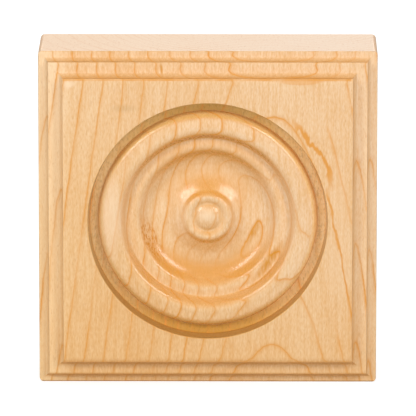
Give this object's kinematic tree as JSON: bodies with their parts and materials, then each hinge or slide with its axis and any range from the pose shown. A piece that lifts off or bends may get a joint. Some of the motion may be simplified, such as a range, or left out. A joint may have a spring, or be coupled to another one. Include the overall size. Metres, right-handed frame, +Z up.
{
  "type": "corner rosette block",
  "caption": "Square wooden corner rosette block with a turned bullseye rosette sunk in its front and coved edges, for joining casing at the corner of a door or window.",
  "frame": {"origin": "under the middle of the block, on the plane of its lower edge face", "axes": "+Z up along the grain, the carved front faces -Y, the flat back faces +Y to the wall, +X to the right seen from the front"},
  "size_m": [0.0952, 0.0318, 0.0953],
  "materials": {
    "maple": "sanded flat-sawn maple with a clear satin finish, grain upright"
  },
  "bodies": {
    "root": {"rosette_block": "maple"}
  },
  "joints": []
}
